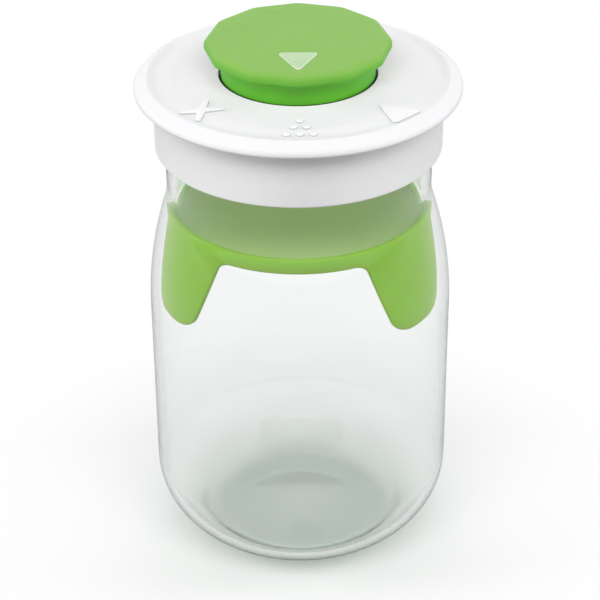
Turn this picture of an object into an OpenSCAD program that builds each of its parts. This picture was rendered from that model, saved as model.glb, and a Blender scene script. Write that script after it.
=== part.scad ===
// Fermentation jar: glass body, screw lid with a turning vent valve, and a soft press for the food.
// Millimetres. The jar stands on z = 0 with its axis on Z, and the knob's pointer faces -Y.

/* [Glass jar] */
// Outside diameter of the straight body
body_d = 101; // [97:0.5:105]
// Height of the glass from the foot to the rim
jar_h = 164.6; // [160:0.2:176]
// Thickness of the body wall
glass_wall = 2.4; // [2:0.1:3]
// Outside diameter of the ring that the jar stands on
foot_d = 59.6; // [52:0.4:64]
// Width of the ring that the jar stands on
foot_w = 4; // [3:0.5:6]
// Rise of the hollow under the floor
push_up = 2; // [1:0.25:2.5]
// Height of the inside floor above the foot
inside_floor_z = 5; // [4.5:0.25:6.5]
// Sideways reach of the rounded heel
heel_w = 31.4; // [29:0.2:34]
// Upward reach of the rounded heel
heel_h = 28.2; // [25:0.2:31]
// Height where the straight wall ends
shoulder_z = 87.9; // [82:0.1:90]
// Height of the shoulder from the straight wall to the neck
shoulder_h = 44.5; // [42:0.5:47]
// Height of the hollow curve that leads into the neck
neck_blend_h = 6.7; // [4:0.1:9]
// Outside diameter of the neck
neck_d = 86.8; // [84:0.2:88.8]
// Thickness of the neck wall
neck_wall = 2.8; // [2.6:0.1:3.2]
// Radius on the two edges of the rim
rim_round = 1; // [0.6:0.1:1.2]

/* [Food press] */
// Drop from the top of the shoulder to the rim of the press
press_drop = 7.3; // [7:0.1:10]
// Height of the press from the petal tips to its rim
press_h = 31.8; // [28:0.2:36]
// Wall thickness of the press
press_wall = 1.8; // [1.4:0.1:2.4]
// Thickness of the top plate
press_plate_t = 2.2; // [1.6:0.1:3]
// Height of the rim bead over the plate
press_bead_h = 0.9; // [0.5:0.1:1.5]
// Clearance from the rim to the shoulder
press_rim_gap = 0.4; // [0.35:0.05:0.8]
// Clearance from the petal tips to the wall
press_tip_gap = 1.1; // [0.8:0.1:2]
// Outward bow of the petals
press_bow = 0.7; // [0.3:0.1:0.8]
// Number of petals
petals = 3; // [2:1:4]
// Width of a petal at its root
petal_root_w = 39.7; // [34:0.1:42]
// Width of a petal at its tip
petal_tip_w = 23.5; // [18:0.5:28]
// Height of the unbroken band above the petals
press_band_h = 4.5; // [4:0.1:8]
// Corner radius at the top of the openings
opening_round = 5; // [2:0.5:7]
// Corner radius of the petal tips
petal_round = 8; // [4:0.5:9]
// Turn of the press in the jar, in degrees
press_turn = -3.4; // [-20:0.2:20]

/* [Screw cap] */
// Thickness of the lid gasket
gasket_t = 1.8; // [1.4:0.1:2.4]
// Play round the gasket
gasket_gap = 0.3; // [0.2:0.05:0.4]
// Room for the thread between the neck and the skirt
thread_room = 1.7; // [1.6:0.1:2.6]
// Wall thickness of the skirt
skirt_wall = 1.5; // [1.4:0.1:2.4]
// Height of the cap from its top to the lower edge of the skirt
skirt_h = 22.3; // [18:0.1:26]
// Radius on the lower edge of the skirt
skirt_round = 0.7; // [0.3:0.1:0.8]
// Thickness of the top wall of the cap
cap_t = 2; // [1.6:0.1:2.6]
// Thickness of the ring that keeps the gasket in place
plug_t = 1.5; // [1.2:0.1:2]
// Depth of the ring that keeps the gasket in place
plug_h = 3.3; // [2.6:0.1:5]
// Clearance from that ring to the mouth of the jar
plug_gap = 0.7; // [0.5:0.1:1]

/* [Saucer] */
// Thickness of the saucer's deck
saucer_t = 2.2; // [1.8:0.1:3]
// Fall of the deck from the well out to the groove
deck_fall = 0.45; // [0.2:0.05:0.6]
// Overhang of the saucer past the skirt
saucer_over = 6; // [5.5:0.1:8]
// Width of the sloping rim band
band_w = 4.1; // [3.8:0.1:5]
// Fall from the deck at the well to the outer corner of the rim band
band_fall = 2.7; // [2:0.05:2.9]
// Radius on the outer corner of the rim band
band_round = 2; // [1.2:0.1:2.2]
// Drop from the deck at the well to the lower edge of the rim
band_drop = 4.8; // [4.8:0.1:6]
// Wall thickness of the rim
band_wall = 2; // [1.6:0.1:2.4]
// Width of the groove between the deck and the rim band
crease_w = 0.8; // [0.4:0.1:1]
// Depth of the groove between the deck and the rim band
crease_h = 0.3; // [0.2:0.05:0.5]
// Thickness of the collar that seats in the well
collar_t = 1.1; // [0.9:0.1:1.4]
// Depth of the collar that seats in the well
collar_h = 3; // [2:0.25:4]
// Clearance round the collar
collar_gap = 0.1; // [0.05:0.01:0.15]

/* [Valve well] */
// Bore of the well that the knob turns in
well_d = 51; // [49:0.2:53]
// Depth of the well below the deck
well_depth = 18.3; // [17:0.1:19]
// Wall thickness of the well
well_wall = 2.6; // [2.4:0.1:3]
// Thickness of the floor of the well
well_floor_t = 2.4; // [2:0.1:3]
// Diameter of the open vent
vent_d = 8; // [6:0.5:9]
// Diameter of the pocket for the check valve
pocket_d = 11.2; // [10.4:0.1:11.6]
// Depth of the pocket for the check valve
pocket_h = 3.2; // [3:0.1:4]
// Thickness of the pocket's floor
pocket_floor_t = 1.8; // [1.4:0.1:2.4]
// Wall round the pocket
pocket_wall = 1.5; // [1.2:0.1:1.7]
// Diameter of the small holes under the check valve
bleed_d = 1.6; // [1.2:0.1:1.8]
// Number of small holes under the check valve
bleed_n = 5; // [4:1:6]
// Distance of the small holes from the valve stem
bleed_r = 3.1; // [2.8:0.1:3.2]
// Diameter of the check valve's umbrella
umbrella_d = 9.6; // [9:0.1:9.9]
// Height of the check valve's umbrella
umbrella_h = 2.2; // [1.6:0.1:2.6]
// Thickness of the umbrella's edge
umbrella_edge_t = 0.6; // [0.4:0.1:1]
// Diameter of the check valve's stem
valve_stem_d = 2.6; // [2:0.1:2.8]
// Diameter of the bulb that keeps the check valve in
valve_bulb_d = 4; // [3.4:0.1:4.2]
// Length of the bulb
valve_bulb_h = 3.4; // [2.6:0.1:4]
// Clearance round the check valve's stem
valve_gap = 0.05; // [0.03:0.01:0.1]
// Length of the bush that guides the spindle, from the floor of the well
bush_l = 5.8; // [5:0.1:7]
// Wall round the bush
bush_wall = 2.6; // [2.4:0.1:2.8]
// Width of the stop rib in the well
stop_w = 4; // [3:0.5:5]
// Height of the stop rib in the well
stop_h = 4; // [3:0.5:5]
// Reach of the stop rib into the well
stop_in = 1.9; // [1.6:0.1:2.1]

/* [Knob] */
// Distance across the corners of the knob's head
knob_d = 59.6; // [57:0.1:62]
// Turn of the knob from one setting to the next, in degrees
set_step = 45; // [44:1:52]
// Number of sides of the head
knob_sides = 12; // [8:1:16]
// Sharpness of the head's corners
corner_sharpness = 90; // [50:10:160]
// Height of the knob above the deck
knob_h = 11.8; // [11:0.1:14]
// Thickness of the head from its lip to its top
head_t = 3.8; // [3.4:0.1:4.4]
// Radius on the top edge of the head
head_round = 2.2; // [1.4:0.1:2.4]
// Radius on the lip of the head
lip_round = 0.8; // [0.5:0.1:0.9]
// Height of the flare under the lip
flare_h = 5.6; // [4:0.1:6.5]
// Gap between the stem and the bore of the well
stem_gap = 0.65; // [0.5:0.05:0.9]
// Step in the stem just below the deck
stem_step = 0.15; // [0.1:0.05:0.2]
// Clearance of the guide land at the foot of the stem
guide_gap = 0.3; // [0.3:0.05:0.4]
// Height of the guide land at the foot of the stem
guide_h = 5.4; // [5:0.1:6]
// Wall thickness of the stem
stem_wall = 2.35; // [2:0.05:2.6]
// Thickness of the top of the head over the hollow
head_top_t = 2.6; // [2.4:0.1:3.2]
// Clearance from the foot of the stem to the floor of the well
stem_foot_gap = 1; // [0.8:0.1:1.4]
// Width of the gas slots in the stem
slot_w = 8; // [5:0.5:10]
// Height of the gas slots in the stem
slot_h = 3; // [2:0.25:4]
// Number of gas slots in the stem
slot_n = 4; // [2:2:6]
// Clearance of the stop rib at each end of its travel
stop_gap = 0.4; // [0.3:0.05:0.6]

/* [Pointer] */
// Width of the pointer
pointer_w = 12; // [9:0.5:13]
// Length of the pointer
pointer_l = 12.5; // [10:0.5:13]
// Distance from the axis to the tip of the pointer
pointer_tip_r = 24.3; // [23.6:0.1:24.6]
// Corner radius of the pointer
pointer_round = 0.9; // [0.5:0.1:1.2]
// Depth of the pointer's pocket
pointer_t = 1.2; // [0.8:0.1:1.4]
// Height of the pointer over the head
pointer_proud = 0.15; // [0.05:0.05:0.3]
// Clearance round the pointer
pointer_gap = 0.08; // [0.05:0.01:0.1]

/* [Knob core] */
// Clearance of the core in the stem
core_gap = 0.1; // [0.05:0.01:0.15]
// Thickness of the core's disc
core_disc_t = 2.5; // [2:0.1:3]
// Height of the core's wall over its disc
core_wall_h = 2.6; // [2:0.1:3]
// Wall thickness of the core
core_wall = 1.6; // [1.2:0.1:2]
// Thickness of the port seal
seal_t = 2; // [1.6:0.1:2.4]
// Clearance round the port seal
seal_gap = 0.1; // [0.08:0.01:0.15]
// Clearance under the port seal
seal_lift = 0.05; // [0.03:0.01:0.1]
// Diameter of the port in the seal and the core
port_d = 9; // [8:0.5:9.5]
// Wall of the port seal outside its port
port_wall = 1.3; // [1:0.1:1.6]
// Diameter of the spindle
spindle_d = 11.04; // [10.4:0.04:11.4]
// Running clearance of the spindle in its bush
spindle_gap = 0.08; // [0.05:0.01:0.1]
// Section diameter of the O-ring
o_ring_d = 1.4; // [1.2:0.1:1.5]
// Clearance round the O-ring's section
o_ring_gap = 0.05; // [0.03:0.01:0.1]
// Thickness of the thrust washer
washer_t = 1; // [0.8:0.1:1.4]
// Width of the thrust washer's face
washer_w = 3.4; // [2.6:0.1:4]
// Clearance at each face of the washer and the clip
stack_gap = 0.05; // [0.03:0.01:0.1]
// Thickness of the retaining clip
clip_t = 1.2; // [1:0.1:1.6]
// Width of the clip's ring
clip_w = 3.4; // [2.8:0.1:3.8]
// Depth of the clip's groove in the spindle
clip_groove = 1.2; // [1:0.1:1.4]
// Opening of the clip, in degrees
clip_open = 76; // [60:2:90]
// Length of the spindle below the clip
spindle_end = 1.6; // [1.2:0.1:2.4]
// Bevel on the end of the spindle
spindle_bevel = 0.8; // [0.4:0.1:1]

/* [Hidden] */
$fn = 96;
clear_glass = [0.85, 0.92, 0.9, 0.35];
lid_white = [0.94, 0.94, 0.95];
leaf_green = [0.5, 0.74, 0.33];
knob_green = [0.46, 0.72, 0.3];
pale_green = [0.8, 0.89, 0.74];
clear_silicone = [0.88, 0.89, 0.88];
past = 1;
bar_n = 28;

// Radii and heights of the glass
body_r = body_d/2;
neck_r = neck_d/2;
mouth_r = neck_r - neck_wall;
foot_r = foot_d/2;
heel_end = acos((foot_r - body_r + heel_w)/heel_w);
heel_top_z = heel_h*sin(heel_end);
heel_in_w = heel_w - glass_wall;
heel_in_h = heel_h - glass_wall;
heel_in_end = asin((heel_top_z - inside_floor_z)/heel_in_h);
shoulder_top_z = shoulder_z + shoulder_h;

// Heights of the lid
cap_under_z = jar_h + gasket_t;
cap_top_z = cap_under_z + cap_t;
deck_z = cap_top_z + saucer_t;
skirt_low_z = cap_top_z - skirt_h;
well_z = deck_z - well_depth;
bush_low_z = well_z - bush_l;
pocket_z = well_z - pocket_h;
pocket_low_z = pocket_z - pocket_floor_t;

// Radii of the lid
skirt_in_r = neck_r + thread_room;
skirt_r = skirt_in_r + skirt_wall;
saucer_r = skirt_r + saucer_over;
plug_r = mouth_r - plug_gap;
well_r = well_d/2;
well_out_r = well_r + well_wall;
collar_r = well_r + collar_t;
bush_r = spindle_d/2 + spindle_gap;
bush_out_r = bush_r + bush_wall;
valve_hole_r = valve_stem_d/2 + valve_gap;

// Radii and heights of the knob
stem_r = well_r - stem_gap;
stem_in_r = stem_r - stem_wall;
guide_r = well_r - guide_gap;
stem_low_z = well_z + stem_foot_gap;
stem_top_z = deck_z - 1.5*stem_foot_gap;
guide_top_z = stem_low_z + guide_h;
knob_top_z = deck_z + knob_h;
lip_z = knob_top_z - head_t;
side_step = 360/knob_sides;
corner_ratio = pow(2*pow(cos(side_step/2), corner_sharpness), 1/corner_sharpness);
head_flat_r = knob_d/2*corner_ratio;
seal_low_z = well_z + seal_lift;
core_low_z = seal_low_z + seal_t;
core_r = stem_in_r - core_gap;
core_top_z = core_low_z + core_disc_t + core_wall_h;
seal_r = core_r - core_wall;
port_r = seal_r - seal_gap - port_wall - port_d/2;
slot_z = core_top_z + slot_h;
stop_half = asin(stop_w/2/(well_r - stop_in));
stop_room = set_step + stop_half + asin(stop_gap/stem_in_r);

// Heights and radii along the spindle
washer_low_z = bush_low_z - stack_gap - washer_t;
clip_low_z = washer_low_z - stack_gap - clip_t;
spindle_low_z = clip_low_z - spindle_end;
spindle_r = spindle_d/2;
o_groove_r = bush_r - o_ring_d - 2*o_ring_gap;
o_groove_w = o_ring_d*1.3;
o_groove_z = bush_low_z + bush_l/2 - o_groove_w/2;
clip_in_r = spindle_r - clip_groove;

// Points on an elliptic arc about c
function arc(c, rx, ry, from, to, n) =
    [for (i = [0:n]) let (a = from + (to - from)*i/n) [c[0] + rx*cos(a), c[1] + ry*sin(a)]];

// Angle, radii and split height of the two arcs that lead from radius r0 to the neck radius r1
function bend(r0, r1) = 2*atan((r0 - r1)/shoulder_h);
function bulge_r(r0, r1) = (shoulder_h - neck_blend_h)/sin(bend(r0, r1));
function blend_r(r0, r1) = neck_blend_h/sin(bend(r0, r1));

// Shoulder profile from the straight wall up to the neck
function shoulder(r0, r1) = concat(
    arc([r0 - bulge_r(r0, r1), shoulder_z], bulge_r(r0, r1), bulge_r(r0, r1), 0, bend(r0, r1), 10),
    arc([r1 + blend_r(r0, r1), shoulder_top_z], blend_r(r0, r1), blend_r(r0, r1),
        180 + bend(r0, r1), 180, 5));

// Inside radius of the glass at a height on the bulge of the shoulder
function bore_r(z) = let (r0 = body_r - glass_wall, b = bulge_r(r0, mouth_r))
    z <= shoulder_z ? r0 : r0 - b + sqrt(b*b - (z - shoulder_z)*(z - shoulder_z));

// Reverse of a list of points
function back(v) = [for (i = [len(v) - 1:-1:0]) v[i]];

// Polygon with each corner [x, y, r] rounded by its radius r
function rounded(v) = [
    for (i = [0:len(v) - 1])
        let (
            p = v[i],
            q = v[(i + len(v) - 1)%len(v)],
            s = v[(i + 1)%len(v)],
            a = atan2(q[1] - p[1], q[0] - p[0]),
            b = atan2(s[1] - p[1], s[0] - p[0]),
            turn = (b - a + 540)%360 - 180,
            d = p[2]/sin(abs(turn)/2),
            mid = a + turn/2,
            c = [p[0] + d*cos(mid), p[1] + d*sin(mid)],
            side = turn > 0 ? 1 : -1,
            sweep = 180 - abs(turn)
        )
        each p[2] == 0 ? [[p[0], p[1]]]
            : arc(c, p[2], p[2], mid + 180 + side*sweep/2, mid + 180 - side*sweep/2, 6)
];

// Place something at a distance r from the axis, at an angle from the front, positive to the right
module at(r, angle) {
    rotate(angle) translate([0, -r, 0]) children();
}

module glass_jar() {
    foot_in_r = foot_r - foot_w;
    heel_c = [body_r - heel_w, heel_top_z];
    color(clear_glass) rotate_extrude() polygon(concat(
        [for (i = [0:6]) [foot_in_r*i/6, push_up*(1 - i*i/36)]],
        arc(heel_c, heel_w, heel_h, -heel_end, 0, 16),
        shoulder(body_r, neck_r),
        arc([neck_r - rim_round, jar_h - rim_round], rim_round, rim_round, 0, 90, 5),
        arc([mouth_r + rim_round, jar_h - rim_round], rim_round, rim_round, 90, 180, 5),
        back(shoulder(body_r - glass_wall, mouth_r)),
        arc(heel_c, heel_in_w, heel_in_h, 0, -heel_in_end, 14),
        [[0, inside_floor_z]]
    ));
}

press_rim_z = shoulder_top_z - press_drop;
press_tip_z = press_rim_z - press_h;
press_rim_r = bore_r(press_rim_z) - press_rim_gap;
press_tip_r = bore_r(press_tip_z) - press_tip_gap;

// Outside radius of the press at a share u of the way from its rim to the petal tips
function press_r(u) = press_rim_r + (press_tip_r - press_rim_r)*u + 4*press_bow*u*(1 - u);

// Height of the press at the same share
function press_at(u) = press_rim_z - press_h*u;

// Half width of the opening between two petals of width w, at the radius r
function opening_half(w, r) = r*sin(180/petals - asin(w/2/r));

module petal_opening() {
    root_z = press_rim_z - press_band_h;
    root = opening_half(petal_root_w, press_r(press_band_h/press_h));
    tip = opening_half(petal_tip_w, press_tip_r);
    reach = 2*body_r;
    rotate([90, 0, 0]) linear_extrude(height = reach) polygon(rounded([
        [-root, root_z, opening_round],
        [root, root_z, opening_round],
        [tip, press_tip_z, petal_round],
        [reach, press_tip_z, 0],
        [reach, press_tip_z - press_h, 0],
        [-reach, press_tip_z - press_h, 0],
        [-reach, press_tip_z, 0],
        [-tip, press_tip_z, petal_round]
    ]));
}

module food_press() {
    n = 10;
    plate_z = press_rim_z - press_bead_h;
    under_z = plate_z - press_plate_t;
    under_u = (press_rim_z - under_z)/press_h;
    bead_r = press_wall/2;
    color(leaf_green) rotate(press_turn) difference() {
        rotate_extrude() polygon(concat(
            [[0, under_z], [0, plate_z], [press_r(0) - 2*press_wall, plate_z]],
            arc([press_r(0) - bead_r, press_rim_z - bead_r], bead_r, bead_r, 150, 0, 6),
            [for (i = [1:n]) [press_r(i/n), press_at(i/n)]],
            [[press_r(1) - press_wall, press_tip_z]],
            [for (i = [n - 1:-1:1]) let (u = under_u + (1 - under_u)*i/n)
                [press_r(u) - press_wall, press_at(u)]],
            [[press_r(under_u) - 2*press_wall, under_z]]
        ));
        for (i = [0:petals - 1]) rotate(360/petals*i) petal_opening();
    }
}

module lid_gasket() {
    color(clear_silicone) translate([0, 0, jar_h]) difference() {
        cylinder(r = skirt_in_r - gasket_gap, h = gasket_t);
        translate([0, 0, -past]) cylinder(r = plug_r + gasket_gap, h = gasket_t + 2*past);
    }
}

module screw_cap() {
    color(lid_white) difference() {
        union() {
            rotate_extrude() polygon(concat(
                [[well_r, well_z], [well_r, cap_top_z - collar_h]],
                [[collar_r + collar_gap, cap_top_z - collar_h], [collar_r + collar_gap, cap_top_z]],
                arc([skirt_r - cap_t/2, cap_top_z - cap_t/2], cap_t/2, cap_t/2, 90, 0, 4),
                arc([skirt_r - skirt_round, skirt_low_z + skirt_round], skirt_round, skirt_round, 0, -90, 4),
                arc([skirt_in_r + skirt_round, skirt_low_z + skirt_round], skirt_round, skirt_round,
                    -90, -180, 4),
                [[skirt_in_r, cap_under_z], [plug_r, cap_under_z], [plug_r, cap_under_z - plug_h]],
                [[plug_r - plug_t, cap_under_z - plug_h], [plug_r - plug_t, cap_under_z]],
                [[well_out_r, cap_under_z], [well_out_r, well_z - well_floor_t]],
                [[0, well_z - well_floor_t], [0, well_z]]
            ));
            translate([0, 0, bush_low_z]) cylinder(r = bush_out_r, h = bush_l);
            at(port_r, 0) translate([0, 0, pocket_low_z])
                cylinder(d = pocket_d + 2*pocket_wall, h = well_z - pocket_low_z);
            intersection() {
                at(well_r, 180) translate([-stop_w/2, -well_wall/2, well_z - well_floor_t/2])
                    cube([stop_w, stop_in + well_wall/2, stop_h + well_floor_t/2]);
                cylinder(r = well_out_r, h = cap_top_z);
            }
        }
        translate([0, 0, bush_low_z - past]) cylinder(r = bush_r, h = bush_l + 2*past);
        at(port_r, 0) {
            translate([0, 0, pocket_z]) cylinder(d = pocket_d, h = pocket_h + past);
            translate([0, 0, pocket_low_z - past]) cylinder(r = valve_hole_r, h = pocket_floor_t + 2*past);
            for (i = [0:bleed_n - 1]) rotate(360/bleed_n*i)
                translate([bleed_r, 0, pocket_low_z - past])
                    cylinder(d = bleed_d, h = pocket_floor_t + 2*past);
        }
        at(port_r, set_step) translate([0, 0, well_z - well_floor_t - past])
            cylinder(d = vent_d, h = well_floor_t + 2*past);
    }
}

module lid_saucer() {
    crease_r = saucer_r - band_w;
    crease_z = deck_z - deck_fall;
    low_z = deck_z - band_drop;
    edge_r = 0.3*band_wall;
    color(lid_white) rotate_extrude() polygon(rounded([
        [well_r, cap_top_z - collar_h, 0],
        [well_r, deck_z, 0],
        [crease_r - crease_w, crease_z, 0],
        [crease_r - crease_w/2, crease_z - crease_h, 0],
        [crease_r, crease_z, 0],
        [saucer_r, deck_z - band_fall, band_round],
        [saucer_r, low_z, edge_r],
        [saucer_r - band_wall, low_z, edge_r],
        [saucer_r - band_wall, low_z + 2*edge_r, 0],
        [crease_r, cap_top_z, 0],
        [collar_r, cap_top_z, 0],
        [collar_r, cap_top_z - collar_h, 0]
    ]));
}

module check_valve() {
    dome_r = umbrella_d/2;
    stem = valve_stem_d/2;
    bulb = valve_bulb_d/2;
    bulb_top_z = pocket_low_z - valve_gap;
    color(clear_silicone) at(port_r, 0) rotate_extrude() polygon(concat(
        [[0, bulb_top_z - valve_bulb_h], [stem*0.6, bulb_top_z - valve_bulb_h]],
        [[bulb, bulb_top_z - valve_bulb_h*0.3], [bulb, bulb_top_z]],
        [[stem, bulb_top_z], [stem, pocket_z + valve_gap], [dome_r, pocket_z + valve_gap]],
        arc([0, pocket_z + umbrella_edge_t], dome_r, umbrella_h - umbrella_edge_t, 0, 90, 8)
    ));
}

// Radius of the head at an angle a, for a round radius r and a share k of the full many-sided shape
function sided(r, a, k) = let (
    u = (a%side_step) - side_step/2,
    p = corner_sharpness,
    sides = pow(pow(cos(u), p) + pow(cos(side_step - abs(u)), p), 1/p)
) r*(1 - k + k/sides);

// Levels of the head as [radius at the flats, height, share of the many-sided shape]
head_levels = concat(
    [[stem_r - stem_step, stem_top_z - past, 0]],
    [for (i = [0:7]) let (a = 90*i/7) [
        stem_r - stem_step + (head_flat_r - lip_round - stem_r + stem_step)*(1 - cos(a)),
        lip_z - flare_h*(1 - sin(a)), (1 - cos(a))*(1 - cos(a))]],
    [for (p = arc([head_flat_r - lip_round, lip_z + lip_round], lip_round, lip_round, -60, 0, 2))
        [p[0], p[1], 1]],
    [for (p = arc([head_flat_r - head_round, knob_top_z - head_round], head_round, head_round, 0, 90, 6))
        [p[0], p[1], 1]]
);

// Solid through the levels, each level a ring of n points
module head_loft(n) {
    m = len(head_levels);
    ring = [for (l = head_levels, i = [0:n - 1]) let (a = 360*i/n, r = sided(l[0], a, l[2]))
        [r*cos(a), r*sin(a), l[1]]];
    walls = [for (j = [0:m - 2], i = [0:n - 1]) let (k = (i + 1)%n, b = j*n, t = b + n)
        each [[b + i, t + i, b + k], [b + k, t + i, t + k]]];
    ends = [for (i = [0:n - 1]) let (k = (i + 1)%n, t = (m - 1)*n)
        each [[m*n, i, k], [m*n + 1, t + k, t + i]]];
    polyhedron(points = concat(ring, [[0, 0, head_levels[0][1]], [0, 0, knob_top_z]]),
        faces = concat(walls, ends));
}

module pointer_outline(grow) {
    r = pointer_round;
    y = -pointer_tip_r + r;
    hull() {
        translate([0, y]) circle(r = r + grow, $fn = bar_n);
        for (s = [-1, 1]) translate([s*(pointer_w/2 - r), y + pointer_l - 2*r])
            circle(r = r + grow, $fn = bar_n);
    }
}

module knob_cap() {
    color(knob_green) difference() {
        union() {
            head_loft(8*knob_sides);
            translate([0, 0, stem_low_z]) cylinder(r = stem_r, h = stem_top_z - stem_low_z);
            translate([0, 0, stem_low_z]) cylinder(r = guide_r, h = guide_h);
        }
        translate([0, 0, stem_low_z - past])
            cylinder(r = stem_in_r, h = knob_top_z - head_top_t - stem_low_z + past);
        for (i = [0:slot_n/2 - 1]) rotate(45 + 360/slot_n*i)
            translate([-body_r, -slot_w/2, slot_z]) cube([2*body_r, slot_w, slot_h]);
        rotate_extrude(angle = 2*stop_room, start = 90 - stop_room)
            translate([stem_in_r - past, stem_low_z - past])
                square([stem_wall + 2*past, stop_h + past]);
        translate([0, 0, knob_top_z - pointer_t]) linear_extrude(height = pointer_t + past)
            pointer_outline(pointer_gap);
    }
}

module pointer() {
    color(pale_green) translate([0, 0, knob_top_z - pointer_t])
        linear_extrude(height = pointer_t + pointer_proud) pointer_outline(0);
}

module knob_core() {
    rim_low_z = seal_low_z + seal_t/2;
    disc_top_z = core_low_z + core_disc_t;
    color(lid_white) difference() {
        rotate_extrude() polygon([
            [0, spindle_low_z], [spindle_r - spindle_bevel, spindle_low_z],
            [spindle_r, spindle_low_z + spindle_bevel], [spindle_r, clip_low_z - stack_gap],
            [clip_in_r, clip_low_z - stack_gap], [clip_in_r, clip_low_z + clip_t + stack_gap],
            [spindle_r, clip_low_z + clip_t + stack_gap], [spindle_r, o_groove_z],
            [o_groove_r, o_groove_z], [o_groove_r, o_groove_z + o_groove_w],
            [spindle_r, o_groove_z + o_groove_w], [spindle_r, core_low_z],
            [seal_r, core_low_z], [seal_r, rim_low_z], [core_r, rim_low_z], [core_r, core_top_z],
            [core_r - core_wall, core_top_z], [core_r - core_wall, disc_top_z], [0, disc_top_z]
        ]);
        at(port_r, 0) translate([0, 0, core_low_z - past]) cylinder(d = port_d, h = core_disc_t + 2*past);
    }
}

module port_seal() {
    color(clear_silicone) difference() {
        translate([0, 0, seal_low_z]) cylinder(r = seal_r - seal_gap, h = seal_t);
        translate([0, 0, seal_low_z - past]) cylinder(r = spindle_r + seal_gap, h = seal_t + 2*past);
        at(port_r, 0) translate([0, 0, seal_low_z - past]) cylinder(d = port_d, h = seal_t + 2*past);
    }
}

module spindle_o_ring() {
    color("dimgray") translate([0, 0, o_groove_z + o_groove_w/2]) rotate_extrude()
        translate([bush_r - o_ring_gap - o_ring_d/2, 0]) circle(d = o_ring_d);
}

module thrust_washer() {
    color(lid_white) translate([0, 0, washer_low_z]) difference() {
        cylinder(r = spindle_r + seal_gap + washer_w, h = washer_t);
        translate([0, 0, -past]) cylinder(r = spindle_r + seal_gap, h = washer_t + 2*past);
    }
}

module retaining_clip() {
    color("silver") translate([0, 0, clip_low_z]) rotate_extrude(angle = 360 - clip_open, start = clip_open/2)
        translate([clip_in_r + stack_gap, 0]) square([clip_w, clip_t]);
}

glass_jar();
food_press();
lid_gasket();
screw_cap();
lid_saucer();
check_valve();
knob_cap();
pointer();
knob_core();
port_seal();
spindle_o_ring();
thrust_washer();
retaining_clip();
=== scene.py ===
"""Looks of the fermentation jar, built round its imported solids."""
import math

import bmesh
import bpy
import numpy as np
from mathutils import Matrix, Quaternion, Vector


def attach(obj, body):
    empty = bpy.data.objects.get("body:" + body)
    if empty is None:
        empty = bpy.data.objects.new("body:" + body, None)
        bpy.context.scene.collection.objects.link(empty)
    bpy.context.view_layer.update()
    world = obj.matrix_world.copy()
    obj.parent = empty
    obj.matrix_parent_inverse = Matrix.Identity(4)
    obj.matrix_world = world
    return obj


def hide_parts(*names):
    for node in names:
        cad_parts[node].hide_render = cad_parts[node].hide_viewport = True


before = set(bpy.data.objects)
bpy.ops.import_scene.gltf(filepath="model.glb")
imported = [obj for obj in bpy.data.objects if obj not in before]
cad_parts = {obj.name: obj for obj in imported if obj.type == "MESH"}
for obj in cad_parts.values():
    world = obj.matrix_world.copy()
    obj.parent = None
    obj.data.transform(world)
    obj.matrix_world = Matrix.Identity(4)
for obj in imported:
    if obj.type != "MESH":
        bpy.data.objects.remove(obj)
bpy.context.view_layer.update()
MM = 0.001

# Sizes in millimetres and angles in degrees, as in the solids where they have the same form

# Glass jar
BODY_R = 50.5
GLASS_WALL = 2.4
FOOT_R = 29.8
FOOT_W = 4.0
FLOOR_Z = 5.0
HEEL_W = 31.4
HEEL_H = 28.2
SHOULDER_Z = 87.9
SHOULDER_H = 44.5
NECK_BLEND_H = 6.7
NECK_R = 43.4
NECK_WALL = 2.8
RIM_Z = 164.6
RIM_ROUND = 1.0
GLASS_STEPS = 224

# Hollow under the base, flatter than the solid's 2 mm
PUSH_UP = 1.6
HOLLOW_STEPS = 16

# Rings of the inside floor, and the fine rows of the neck between its plain ends
FLOOR_RINGS = (14, 5, 0)
NECK_PLAIN_H = 6.0
RIM_PLAIN_H = 2.0
NECK_ROW_H = 0.36

# Screw threads of the glass and of the cap, which the solids don't have
THREAD_PITCH = 6.0
THREAD_W = 3.4
THREAD_TURNS = 1.35
RUN_OUT_TURNS = 0.07
FLANK_STEEPNESS = 1.6
GLASS_THREAD_H = 0.9
GLASS_THREAD_Z = 150.6
CAP_THREAD_H = 0.65
CAP_THREAD_Z = 148.4
CAP_THREAD_ROOT = 0.1
CAP_THREAD_CROWN = 0.1
CAP_THREAD_STEPS = 300

# Food press
PRESS_RIM_Z = 125.1
PRESS_H = 31.8
PRESS_RIM_R = 41.53
PRESS_TIP_R = 46.87
PRESS_BOW = 0.7
PRESS_WALL = 1.8
PRESS_PLATE_T = 2.2
PRESS_BEAD_H = 0.9
PRESS_BAND_H = 4.5
PETALS = 3
PETAL_ROOT_W = 39.7
PETAL_TIP_W = 23.5
PETAL_ROUND = 8.0
OPENING_ROUND = 5.0
PRESS_TURN = -3.4

# Rounds and rows of the press, finer than in the solid
PRESS_EDGE = 0.6
EDGE_STEPS = 6
EDGE_SPACING = 0.9
PRESS_CORNER = 1.6
BEAD_ROUND = 0.8
BEAD_FOOT_W = 1.1
BEAD_FOOT_ROUND = 0.7
PLATE_RINGS = (6, 16, 26)
PLATE_EDGE_W = 8.0
FLANK_LEAN = 0.15
FLANK_REACH = 1.6
FLANK_TOP = 1.2
FLANK_ROWS = 26

# Lid
DECK_Z = 170.6
DECK_FALL = 0.45
CAP_TOP_Z = 168.4
WELL_R = 25.5
COLLAR_R = 26.6
COLLAR_H = 3.0
SKIRT_IN_R = 45.1
SAUCER_R = 52.6
BAND_W = 4.1
BAND_FALL = 2.7
BAND_ROUND = 2.0
BAND_DROP = 4.8
BAND_WALL = 2.0
CREASE_W = 0.8
SAUCER_STEPS = 256

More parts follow.
